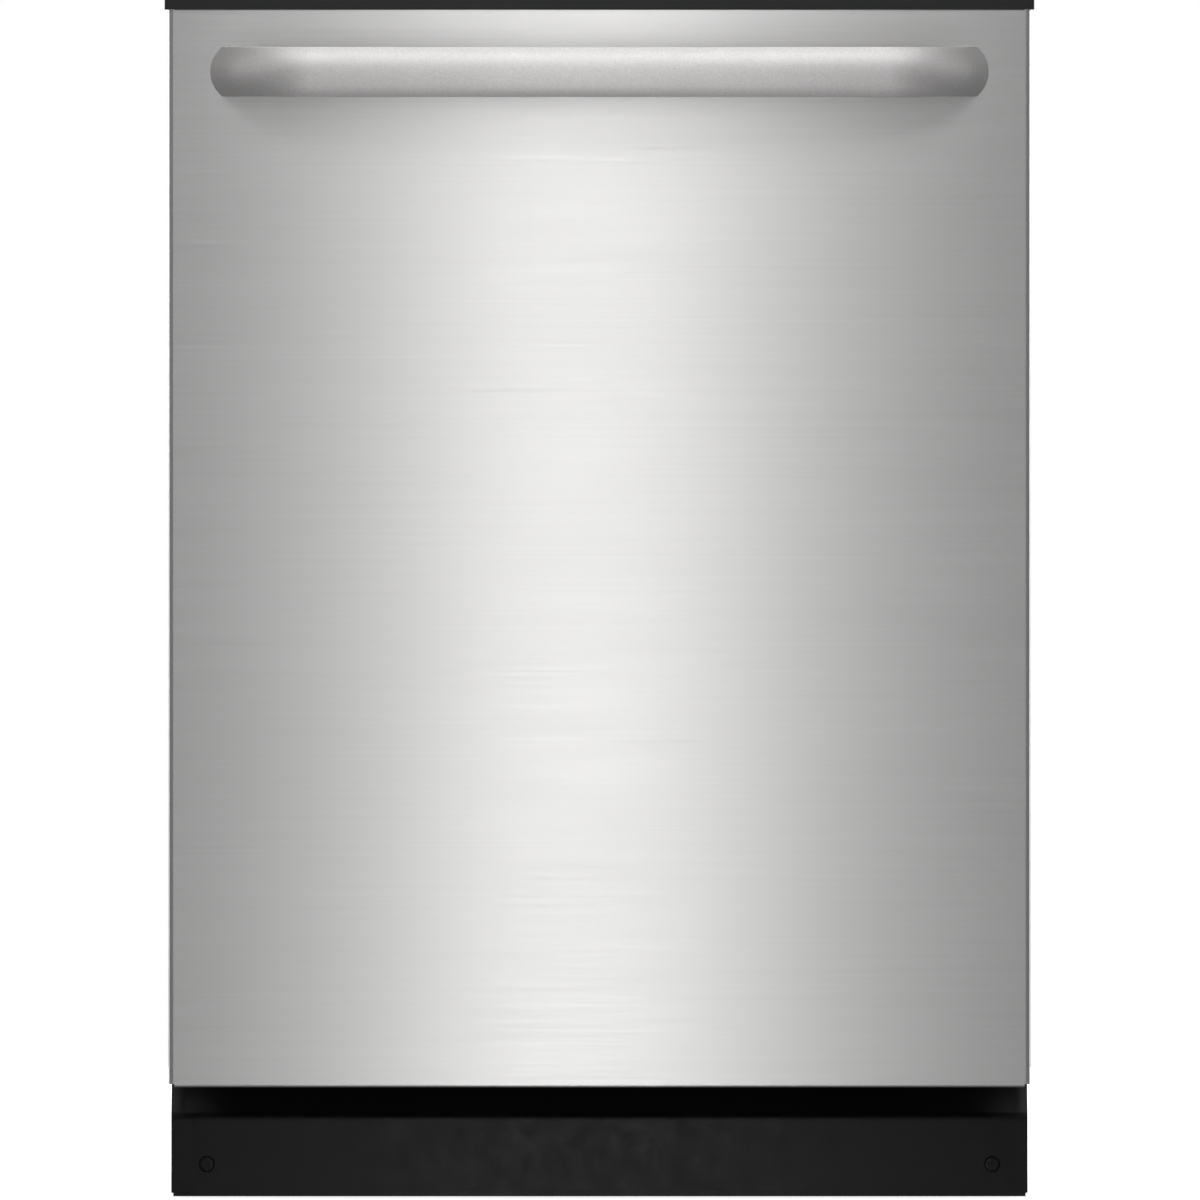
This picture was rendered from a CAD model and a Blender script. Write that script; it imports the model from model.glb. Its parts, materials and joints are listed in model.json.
"""The looks of the built-in dishwasher: materials, the quilted blanket and springs, lights and camera.

Metres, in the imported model's own frame: +Z is up and the door faces -Y.
"""

import json
from math import cos, pi, radians, sin, tau

import bpy
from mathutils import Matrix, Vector


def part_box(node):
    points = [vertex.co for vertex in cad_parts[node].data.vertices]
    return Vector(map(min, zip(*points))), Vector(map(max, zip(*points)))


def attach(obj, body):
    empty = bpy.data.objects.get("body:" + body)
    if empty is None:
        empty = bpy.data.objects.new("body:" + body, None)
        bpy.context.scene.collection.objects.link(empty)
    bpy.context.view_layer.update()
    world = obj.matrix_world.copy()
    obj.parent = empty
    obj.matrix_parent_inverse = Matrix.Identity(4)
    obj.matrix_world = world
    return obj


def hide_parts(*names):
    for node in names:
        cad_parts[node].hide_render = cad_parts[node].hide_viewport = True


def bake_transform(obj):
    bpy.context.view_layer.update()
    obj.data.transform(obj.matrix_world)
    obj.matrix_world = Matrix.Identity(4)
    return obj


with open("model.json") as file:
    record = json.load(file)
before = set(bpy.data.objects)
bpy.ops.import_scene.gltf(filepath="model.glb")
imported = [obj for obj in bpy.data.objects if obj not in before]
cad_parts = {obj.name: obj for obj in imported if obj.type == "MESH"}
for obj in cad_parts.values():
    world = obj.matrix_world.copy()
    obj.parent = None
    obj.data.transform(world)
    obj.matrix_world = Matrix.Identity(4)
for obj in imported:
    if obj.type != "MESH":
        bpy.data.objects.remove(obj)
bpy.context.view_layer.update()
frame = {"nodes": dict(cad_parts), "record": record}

nodes = frame["nodes"]


# ---------------------------------------------------------------- node helpers


SOCKETS = {
    "anisotropic": "Anisotropic",
    "anisotropic_rotation": "Anisotropic Rotation",
    "coat_weight": "Coat Weight",
    "coat_roughness": "Coat Roughness",
    "specular": "Specular IOR Level",
    "sheen_weight": "Sheen Weight",
    "sheen_roughness": "Sheen Roughness",
}


class Shader:
    """A Principled material built up one node at a time, in object coordinates, which are metres here."""

    def __init__(self, name, colour, roughness, metallic=0.0, **sockets):
        self.material = bpy.data.materials.new(name)
        self.material.use_nodes = True
        self.tree = self.material.node_tree
        self.principled = self.tree.nodes["Principled BSDF"]
        self.principled.inputs["Base Color"].default_value = (*colour, 1.0)
        self.principled.inputs["Roughness"].default_value = roughness
        self.principled.inputs["Metallic"].default_value = metallic
        for socket, value in sockets.items():
            self.principled.inputs[SOCKETS[socket]].default_value = value
        self.coordinates = self.tree.nodes.new("ShaderNodeTexCoord").outputs["Object"]
        self.colour = colour
        self.normal = None

    def node(self, kind, **values):
        made = self.tree.nodes.new(kind)
        for key, value in values.items():
            setattr(made, key, value)
        return made

    def link(self, out, socket):
        self.tree.links.new(out, socket)

    def place(self, scale):
        """Object coordinates times scale, which has one number for each axis."""
        mapping = self.node("ShaderNodeMapping", vector_type="POINT")
        mapping.inputs["Scale"].default_value = scale
        self.link(self.coordinates, mapping.inputs["Vector"])
        return mapping.outputs["Vector"]

    def noise(self, scale, detail=2.0, roughness=0.5, distortion=0.0):
        """Noise whose features are 1/scale metres. scale may be one number or one for each axis."""
        if not hasattr(scale, "__len__"):
            scale = (scale, scale, scale)
        texture = self.node("ShaderNodeTexNoise")
        texture.inputs["Scale"].default_value = 1.0
        texture.inputs["Detail"].default_value = detail
        texture.inputs["Roughness"].default_value = roughness
        texture.inputs["Distortion"].default_value = distortion
        self.link(self.place(scale), texture.inputs["Vector"])
        return texture.outputs["Fac"]

    def cells(self, scale, output="Distance"):
        """Voronoi cells, about 1/scale metres apart."""
        texture = self.node("ShaderNodeTexVoronoi", feature="F1")
        texture.inputs["Scale"].default_value = 1.0
        self.link(self.place((scale, scale, scale)), texture.inputs["Vector"])
        return texture.outputs[output]

    def span(self, value, low, high, to_low=0.0, to_high=1.0):
        """value, from between low and high to between to_low and to_high."""
        mapped = self.node("ShaderNodeMapRange")
        for socket, number in zip(("From Min", "From Max", "To Min", "To Max"), (low, high, to_low, to_high)):
            mapped.inputs[socket].default_value = number
        self.link(value, mapped.inputs["Value"])
        return mapped.outputs["Result"]

    def mix(self, factor, first, second):
        """A colour between two, each an RGB or an output."""
        blend = self.node("ShaderNodeMix", data_type="RGBA")
        self.link(factor, blend.inputs["Factor"])
        for value, name in ((first, "A"), (second, "B")):
            socket = next(s for s in blend.inputs if s.name == name and s.type == "RGBA")
            if isinstance(value, tuple):
                socket.default_value = (*value, 1.0)
            else:
                self.link(value, socket)
        return next(s for s in blend.outputs if s.type == "RGBA")

    def tint(self, factor, dark, light):
        """The base colour times between dark and light."""
        shades = [tuple(channel * share for channel in self.colour) for share in (dark, light)]
        return self.mix(factor, *shades)

    def paint(self, colour):
        self.link(colour, self.principled.inputs["Base Color"])

    def rough(self, value):
        self.link(value, self.principled.inputs["Roughness"])

    def bump(self, height, depth):
        """Relief of that depth in metres, over any made before."""
        relief = self.node("ShaderNodeBump")
        relief.inputs["Strength"].default_value = 1.0
        relief.inputs["Distance"].default_value = depth
        self.link(height, relief.inputs["Height"])
        if self.normal is not None:
            self.link(self.normal, relief.inputs["Normal"])
        self.normal = relief.outputs["Normal"]
        self.link(self.normal, self.principled.inputs["Normal"])


# ---------------------------------------------------------------- materials


BRUSH_DEPTH = 2e-6
LONG_LINE_SCALE = 0.3
LONG_LINE_SHARE = 0.5
CLOUD_ROUGHNESS = 0.003


def brushed(name, colour, roughness, grain, anisotropy, rotation, contrast):
    """Steel brushed in lines. grain holds the noise scale along each axis, smallest along the lines."""
    s = Shader(name, colour, roughness, metallic=1.0, anisotropic=anisotropy, anisotropic_rotation=rotation)
    tangent = s.node("ShaderNodeTangent", direction_type="RADIAL", axis="Z")
    s.link(tangent.outputs["Tangent"], s.principled.inputs["Tangent"])
    lines = s.noise(grain, detail=4, roughness=0.7)
    long_lines = s.noise(tuple(g * LONG_LINE_SCALE for g in grain), detail=2)
    clouds = s.noise(7.0, detail=3)
    both = s.node("ShaderNodeMath", operation="MULTIPLY_ADD")
    s.link(long_lines, both.inputs[0])
    both.inputs[1].default_value = LONG_LINE_SHARE
    s.link(lines, both.inputs[2])
    s.paint(s.tint(s.span(both.outputs[0], 0.45, 1.05), 1 - contrast, 1 + contrast * 0.6))
    wander = s.node("ShaderNodeMath", operation="ADD")
    s.link(s.span(clouds, 0.35, 0.65, -CLOUD_ROUGHNESS, CLOUD_ROUGHNESS), wander.inputs[0])
    s.link(s.span(lines, 0.3, 0.7, roughness - 0.03, roughness + 0.04), wander.inputs[1])
    s.rough(wander.outputs[0])
    s.bump(lines, BRUSH_DEPTH)
    return s.material


BLAST_GRAIN = (700.0, 1300.0, 1300.0)
BLAST_DEPTH = 6e-5


def blasted(name, colour, roughness):
    """Fine bead-blasted stainless steel, its grain a little longer along X."""
    s = Shader(name, colour, roughness, metallic=1.0)
    grains = s.noise(BLAST_GRAIN, detail=3, roughness=0.65)
    clouds = s.noise(22.0, detail=3)
    s.paint(s.tint(s.span(grains, 0.35, 0.65), 0.90, 1.05))
    s.rough(s.span(clouds, 0.3, 0.7, roughness - 0.02, roughness + 0.03))
    s.bump(grains, BLAST_DEPTH)
    return s.material


def moulded(name, colour, roughness, pebble=1500.0, depth=2e-5, spread=0.05, **sockets):
    """Injection-moulded plastic with a spark-eroded texture."""
    s = Shader(name, colour, roughness, **sockets)
    pebbles = s.noise(pebble, detail=2, roughness=0.55)
    clouds = s.noise(14.0, detail=4)
    s.paint(s.tint(s.span(clouds, 0.35, 0.65), 1 - spread, 1 + spread))
    s.rough(s.span(clouds, 0.3, 0.7, roughness - 0.03, roughness + 0.05))
    s.bump(pebbles, depth)
    return s.material


def galvanised(name, colour, roughness):
    """Zinc-coated sheet with a faint spangle and roll marks."""
    s = Shader(name, colour, roughness, metallic=1.0)
    spangle = s.cells(110.0, output="Color")
    value = s.node("ShaderNodeSeparateColor")
    s.link(spangle, value.inputs["Color"])
    roll = s.noise((300.0, 12.0, 300.0), detail=3)
    s.paint(s.tint(s.span(value.outputs[0], 0.0, 1.0), 0.84, 1.08))
    s.rough(s.span(value.outputs[1], 0.0, 1.0, roughness - 0.07, roughness + 0.09))
    s.bump(roll, 8e-6)
    return s.material


ORANGE_PEEL_DEPTH = 2.4e-5


def enamel(name, colour, roughness):
    """Sprayed paint with a little orange peel and settled dust."""
    s = Shader(name, colour, roughness, specular=0.22)
    peel = s.noise(420.0, detail=2)
    dust = s.noise(60.0, detail=6, roughness=0.7)
    s.paint(s.tint(s.span(dust, 0.4, 0.75), 1.0, 1.4))
    s.rough(s.span(dust, 0.35, 0.7, roughness - 0.03, roughness + 0.12))
    s.bump(peel, ORANGE_PEEL_DEPTH)
    return s.material


def coated_wire(name, colour):
    """Wire dipped in nylon: smooth and a little uneven in thickness."""
    s = Shader(name, colour, 0.34, specular=0.45, coat_weight=0.15, coat_roughness=0.25)
    runs = s.noise(160.0, detail=2)
    clouds = s.noise(30.0, detail=3)
    s.paint(s.tint(s.span(clouds, 0.35, 0.65), 0.93, 1.05))
    s.rough(s.span(runs, 0.3, 0.7, 0.28, 0.42))
    s.bump(runs, 1.2e-4)
    return s.material


def rubber(name, colour):
    """Rubber with a chalky bloom."""
    s = Shader(name, colour, 0.62, specular=0.35)
    bloom = s.noise(45.0, detail=5, roughness=0.65)
    grain = s.noise(1800.0, detail=1)
    s.paint(s.tint(s.span(bloom, 0.4, 0.7), 0.9, 1.5))
    s.rough(s.span(bloom, 0.35, 0.7, 0.55, 0.75))
    s.bump(grain, 2e-5)
    return s.material


def turned_steel(name, colour, roughness=0.28):
    """Bright screws, pins and springs."""
    s = Shader(name, colour, roughness, metallic=1.0)
    marks = s.noise(700.0, detail=3)
    stain = s.noise(90.0, detail=4)
    s.paint(s.tint(s.span(stain, 0.35, 0.7), 0.85, 1.05))
    s.rough(s.span(marks, 0.3, 0.7, roughness - 0.06, roughness + 0.1))
    s.bump(marks, 1e-5)
    return s.material


def heat_tinted(name):
    """The heater's sheath, browned and blued in patches."""
    s = Shader(name, (0.30, 0.28, 0.27), 0.4, metallic=1.0)
    patches = s.noise(35.0, detail=4, roughness=0.6)
    fine = s.noise(900.0, detail=2)
    warm = s.mix(s.span(patches, 0.35, 0.55), (0.24, 0.17, 0.12), (0.32, 0.31, 0.31))
    s.paint(s.mix(s.span(patches, 0.55, 0.7), warm, (0.20, 0.23, 0.31)))
    s.rough(s.span(patches, 0.3, 0.7, 0.34, 0.5))
    s.bump(fine, 1.5e-5)
    return s.material


def smoked(name):
    """A smoked display window."""
    s = Shader(name, (0.012, 0.012, 0.014), 0.12, coat_weight=0.6, coat_roughness=0.05)
    haze = s.noise(40.0, detail=4)
    s.paint(s.tint(s.span(haze, 0.4, 0.7), 0.9, 1.4))
    s.rough(s.span(haze, 0.35, 0.7, 0.08, 0.2))
    return s.material


FLECK_SHADE = 0.45
CLUMP_DEPTH = 1.2e-3
STRAND_DEPTH = 5e-4


def fibre(name, colour):
    """Felted fibre under a thin grey scrim."""
    s = Shader(name, colour, 0.9, specular=0.15, sheen_weight=0.35, sheen_roughness=0.5)
    strands = s.noise(500.0, detail=6, roughness=0.75, distortion=1.5)
    clumps = s.noise(60.0, detail=5, roughness=0.65)
    flecks = s.cells(260.0)
    base = s.tint(s.span(clumps, 0.35, 0.68), 0.86, 1.1)
    fleck = tuple(channel * FLECK_SHADE for channel in colour)
    s.paint(s.mix(s.span(flecks, 0.02, 0.16, 0.55, 0.0), base, fleck))
    s.rough(s.span(clumps, 0.3, 0.7, 0.84, 0.97))
    s.bump(clumps, CLUMP_DEPTH)
    s.bump(strands, STRAND_DEPTH)
    return s.material


TUB_GREY = (0.43, 0.435, 0.44)
DOOR_GRAIN = (9.0, 1500.0, 1500.0)
RUNNER_GRAIN = (900.0, 12.0, 900.0)

looks = {
    "brushed_door": brushed("brushed_door", (0.612, 0.608, 0.605), 0.40, DOOR_GRAIN, 0.75, 0.25, 0.05),
    "satin_handle": blasted("satin_handle", (0.865, 0.85, 0.845), 0.52),
    "console_black": moulded("console_black", (0.014, 0.0145, 0.016), 0.45, specular=0.35),
    "key_black": moulded("key_black", (0.034, 0.035, 0.038), 0.34, pebble=2200.0, depth=8e-6),
    "smoked_window": smoked("smoked_window"),
    "black_housing": moulded("black_housing", (0.03, 0.03, 0.032), 0.5),
    "grey_tub": moulded("grey_tub", TUB_GREY, 0.42, pebble=900.0, depth=2.5e-5, spread=0.03),
    "grey_liner": moulded("grey_liner", TUB_GREY, 0.4, pebble=900.0, depth=2.5e-5, spread=0.03),
    "dispenser_grey": moulded("dispenser_grey", (0.16, 0.165, 0.175), 0.38),
    "cap_blue": moulded("cap_blue", (0.05, 0.11, 0.25), 0.28, pebble=2200.0, depth=6e-6),
    "dark_rubber": rubber("dark_rubber", (0.025, 0.025, 0.027)),
    "grey_rubber": rubber("grey_rubber", (0.10, 0.10, 0.105)),
    "zinc_steel": galvanised("zinc_steel", (0.55, 0.56, 0.57), 0.42),
    "bright_screw": turned_steel("bright_screw", (0.62, 0.62, 0.63)),
    "black_enamel": enamel("black_enamel", (0.004, 0.004, 0.0045), 0.33),
    "fibre_blanket": fibre("fibre_blanket", (0.27, 0.27, 0.265)),
    "pump_black": moulded("pump_black", (0.035, 0.036, 0.04), 0.45),
    "filter_grey": moulded("filter_grey", (0.10, 0.11, 0.12), 0.4),
    "heater_alloy": heat_tinted("heater_alloy"),
    "tube_grey": moulded("tube_grey", (0.26, 0.265, 0.275), 0.4),
    "nylon_rack": coated_wire("nylon_rack", (0.36, 0.39, 0.43)),
    "basket_grey": moulded("basket_grey", (0.22, 0.24, 0.27), 0.42),
    "wheel_grey": moulded("wheel_grey", (0.17, 0.18, 0.195), 0.4),
    "arm_grey": moulded("arm_grey", (0.20, 0.21, 0.225), 0.36),
    "runner_steel": brushed("runner_steel", (0.60, 0.605, 0.61), 0.3, RUNNER_GRAIN, 0.3, 0.0, 0.08),
    "spring_steel": turned_steel("spring_steel", (0.36, 0.36, 0.37), 0.34),
}

slot_of = {part["node"]: part["material_slot"] for part in frame["record"]["subparts"]}
for name, node in nodes.items():
    node.data.materials.clear()
    node.data.materials.append(looks[slot_of[name]])


# ---------------------------------------------------------------- new pieces


def mesh_piece(name, vertices, faces, look):
    """A smooth piece in one look, whose material slot has the same name."""
    mesh = bpy.data.meshes.new(name)
    mesh.from_pydata(vertices, [], faces)
    mesh.validate()
    mesh.materials.append(looks[look])
    mesh.shade_smooth()
    piece = bpy.data.objects.new(name, mesh)
    bpy.context.scene.collection.objects.link(piece)
    return piece


INNER_INSET = 0.0165
INNER_DROP = 0.0122
PUFF_THICK = 0.0118
SEAM_THICK = 0.0045
BLANKET_CORNER = 0.028
QUILTS_AROUND, QUILTS_DEEP = 22, 6
STEPS_AROUND, STEPS_DEEP = 12, 14
PUFF_FULLNESS = 0.45
WRINKLE = 0.0006
WRINKLE_ROOM = 0.0007


def blanket():
    """A quilted fibre mat folded over the tub: flat inside, puffed between the seams outside."""
    low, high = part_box("insulation_blanket")
    inner_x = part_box("tub")[1].x - INNER_INSET
    inner_z = high.z - INNER_DROP
    corner = BLANKET_CORNER
    foot = low.z
    side = inner_z - corner - foot
    arc = corner * pi / 2
    top = 2 * (inner_x - corner)
    total = 2 * side + 2 * arc + top
    depth = high.y - low.y
    pitch_u, pitch_v = total / QUILTS_AROUND, depth / QUILTS_DEEP

    def section(u, rise):
        """The point at distance u along the fold and rise outside the inner face, as (x, z)."""
        if u < side:
            return -inner_x - rise, foot + u
        u -= side
        if u < arc:
            turn = u / corner
            reach = corner + rise
            return -inner_x + corner - reach * cos(turn), inner_z - corner + reach * sin(turn)
        u -= arc
        if u < top:
            return -inner_x + corner + u, inner_z + rise
        u -= top
        if u < arc:
            turn = pi / 2 - u / corner
            reach = corner + rise
            return inner_x - corner + reach * cos(turn), inner_z - corner + reach * sin(turn)
        return inner_x + rise, inner_z - corner - (u - arc)

    def puff(at, pitch):
        """From 0 on a seam to 1 between seams."""
        return abs(sin(pi * at / pitch)) ** PUFF_FULLNESS

    steps_u, steps_v = QUILTS_AROUND * STEPS_AROUND, QUILTS_DEEP * STEPS_DEEP
    vertices, faces = [], []
    for outside in (True, False):
        for i in range(steps_u + 1):
            u = total * i / steps_u
            for j in range(steps_v + 1):
                v = depth * j / steps_v
                wrinkle = WRINKLE * sin(61 * u + 3 * sin(23 * v)) * sin(47 * v + 2 * sin(31 * u))
                full = puff(u, pitch_u) * puff(v, pitch_v)
                rise = SEAM_THICK + (PUFF_THICK - SEAM_THICK - WRINKLE_ROOM) * full + wrinkle * full
                x, z = section(u, rise if outside else 0.0)
                vertices.append((x, low.y + v, z))
    row = steps_v + 1
    layer = (steps_u + 1) * row
    for i in range(steps_u):
        for j in range(steps_v):
            a = i * row + j
            faces.append((a, a + 1, a + row + 1, a + row))
            faces.append((layer + a, layer + a + row, layer + a + row + 1, layer + a + 1))
    for i in range(steps_u):
        for j in (0, steps_v):
            a = i * row + j
            loop = (a, a + row, layer + a + row, layer + a)
            faces.append(loop if j == 0 else loop[::-1])
    for j in range(steps_v):
        for i in (0, steps_u):
            a = i * row + j
            loop = (a + 1, a, layer + a, layer + a + 1)
            faces.append(loop if i == 0 else loop[::-1])
    piece = mesh_piece("quilted_blanket", vertices, faces, "fibre_blanket")
    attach(piece, "cabinet")
    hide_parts("insulation_blanket")


COIL_RADIUS = 0.006
COIL_WIRE = 0.001
COIL_TURNS = 16
CLOSED_TURNS = 1.25
CLOSED_PITCH = 2 * COIL_WIRE * 1.02
WIRE_SIDES = 10
STEPS_PER_TURN = 28


def coil(name, centre_x, centre_z, start, end):
    """A compression spring along Y with closed ends."""
    steps = COIL_TURNS * STEPS_PER_TURN
    vertices, faces = [], []
    span = end - start - 2 * COIL_WIRE
    dead = CLOSED_TURNS * CLOSED_PITCH
    for i in range(steps + 1):
        t = COIL_TURNS * i / steps
        if t < CLOSED_TURNS:
            along = CLOSED_PITCH * t
        elif t > COIL_TURNS - CLOSED_TURNS:
            along = span - CLOSED_PITCH * (COIL_TURNS - t)
        else:
            share = (t - CLOSED_TURNS) / (COIL_TURNS - 2 * CLOSED_TURNS)
            along = dead + (span - 2 * dead) * share
        out = Vector((cos(tau * t), 0, sin(tau * t)))
        middle = Vector((centre_x, start + COIL_WIRE + along, centre_z)) + COIL_RADIUS * out
        for k in range(WIRE_SIDES):
            angle = tau * k / WIRE_SIDES
            vertices.append(middle + COIL_WIRE * (cos(angle) * out + sin(angle) * Vector((0, 1, 0))))
    for i in range(steps):
        for k in range(WIRE_SIDES):
            a, b = i * WIRE_SIDES + k, i * WIRE_SIDES + (k + 1) % WIRE_SIDES
            faces.append((a, b, b + WIRE_SIDES, a + WIRE_SIDES))
    faces.append(tuple(range(WIRE_SIDES)))
    faces.append(tuple(steps * WIRE_SIDES + k for k in reversed(range(WIRE_SIDES))))
    return mesh_piece(name, vertices, faces, "spring_steel")


def springs():
    """The two coils that balance the door. They shorten as the push rods move."""
    low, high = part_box("door_springs")
    centre_z = (low.z + high.z) / 2
    for side, name in ((-1, "coil_left"), (1, "coil_right")):
        centre_x = side * (high.x - COIL_RADIUS - COIL_WIRE)
        piece = coil(name, centre_x, centre_z, low.y, high.y)
        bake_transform(piece)
        if side < 0:
            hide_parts("door_springs")


blanket()
springs()


# ---------------------------------------------------------------- stage, lights and camera


FLOOR_SHADE = 0.92
FLOOR_ROUGHNESS = 0.8
FLOOR_GLOW = 0.75
FLOOR_RADIUS = 2.6
FLOOR_DROP = 0.0005
AMBIENT = 0.15
BACKDROP = 1.0
FRAME_HEIGHT = 0.8418
CAMERA_DISTANCE = 28.0
CAMERA_RISE = radians(1.2)
AIM_X, AIM_Z = 0.0004, 0.4205
WHITE = (1, 1, 1, 1)


def stage():
    """A round pale floor."""
    material = bpy.data.materials.new("pale_floor")
    material.use_nodes = True
    principled = material.node_tree.nodes["Principled BSDF"]
    principled.inputs["Base Color"].default_value = (FLOOR_SHADE, FLOOR_SHADE, FLOOR_SHADE, 1)
    principled.inputs["Roughness"].default_value = FLOOR_ROUGHNESS
    principled.inputs["Emission Color"].default_value = WHITE
    principled.inputs["Emission Strength"].default_value = FLOOR_GLOW
    place = (0, 0, -FLOOR_DROP)
    bpy.ops.mesh.primitive_circle_add(vertices=128, radius=FLOOR_RADIUS, fill_type="NGON", location=place)
    floor = bpy.context.object
    floor.name = "floor"
    floor.data.materials.append(material)
    floor.visible_glossy = False
    floor.visible_diffuse = False
    floor.visible_shadow = False


def area_light(name, location, aim, width, height, watts):
    """A soft box that the camera doesn't see."""
    lamp = bpy.data.lights.new(name, "AREA")
    lamp.shape = "RECTANGLE"
    lamp.size, lamp.size_y = width, height
    lamp.energy = watts
    light = bpy.data.objects.new(name, lamp)
    bpy.context.scene.collection.objects.link(light)
    light.location = location
    light.rotation_euler = (Vector(aim) - Vector(location)).to_track_quat("-Z", "Y").to_euler()
    light.visible_camera = False


def lights():
    """An upright strip that draws the band on the door, soft boxes round it and an even white room.

    Each has a name, a place, a point that it faces, its width and height in metres, and its watts."""
    face_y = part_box("door_outer_panel")[0].y
    area_light("strip", (-0.016, face_y - 1.3, 0.45), (-0.016, face_y, 0.45), 0.03, 3.4, 6.4)
    area_light("left_box", (-2.6, -1.9, 1.5), (0, 0, 0.5), 1.6, 2.2, 5.0)
    area_light("right_box", (2.6, -1.9, 1.5), (0, 0, 0.5), 1.6, 2.2, 4.0)
    area_light("front_top_box", (0, -1.7, 2.5), (0, -0.3, 0.78), 2.6, 0.8, 14.0)
    area_light("low_box", (0, -1.6, -0.5), (0, -0.3, 0.78), 2.4, 0.12, 1.0)
    area_light("top_box", (0, 0.3, 2.9), (0, 0, 0.4), 2.2, 1.6, 14.0)
    area_light("back_box", (0.4, 2.8, 1.8), (0, 0, 0.4), 2.4, 1.8, 45.0)
    area_light("left_back_box", (-2.8, 1.4, 1.1), (0, 0, 0.45), 1.8, 1.6, 40.0)
    area_light("right_back_box", (2.8, 1.4, 1.1), (0, 0, 0.45), 1.8, 1.6, 40.0)
    world = bpy.data.worlds.new("studio")
    world.use_nodes = True
    bpy.context.scene.world = world
    tree = world.node_tree
    ambient = tree.nodes["Background"]
    ambient.inputs["Color"].default_value = WHITE
    ambient.inputs["Strength"].default_value = AMBIENT
    backdrop = tree.nodes.new("ShaderNodeBackground")
    backdrop.inputs["Color"].default_value = WHITE
    backdrop.inputs["Strength"].default_value = BACKDROP
    seen = tree.nodes.new("ShaderNodeLightPath")
    choose = tree.nodes.new("ShaderNodeMixShader")
    tree.links.new(seen.outputs["Is Camera Ray"], choose.inputs["Fac"])
    tree.links.new(ambient.outputs["Background"], choose.inputs[1])
    tree.links.new(backdrop.outputs["Background"], choose.inputs[2])
    tree.links.new(choose.outputs["Shader"], tree.nodes["World Output"].inputs["Surface"])


def camera():
    """A very long lens straight ahead of the door and a little above it."""
    lens = bpy.data.cameras.new("camera")
    lens.sensor_width = 36.0
    lens.lens = lens.sensor_width * CAMERA_DISTANCE / FRAME_HEIGHT
    lens.clip_start, lens.clip_end = 0.5, 200.0
    seat = bpy.data.objects.new("camera", lens)
    bpy.context.scene.collection.objects.link(seat)
    aim = Vector((AIM_X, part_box("door_outer_panel")[0].y, AIM_Z))
    seat.location = aim + CAMERA_DISTANCE * Vector((0, -cos(CAMERA_RISE), sin(CAMERA_RISE)))
    seat.rotation_euler = (aim - seat.location).to_track_quat("-Z", "Y").to_euler()
    bpy.context.scene.camera = seat


stage()
lights()
camera()
bpy.context.scene.view_settings.view_transform = "Standard"
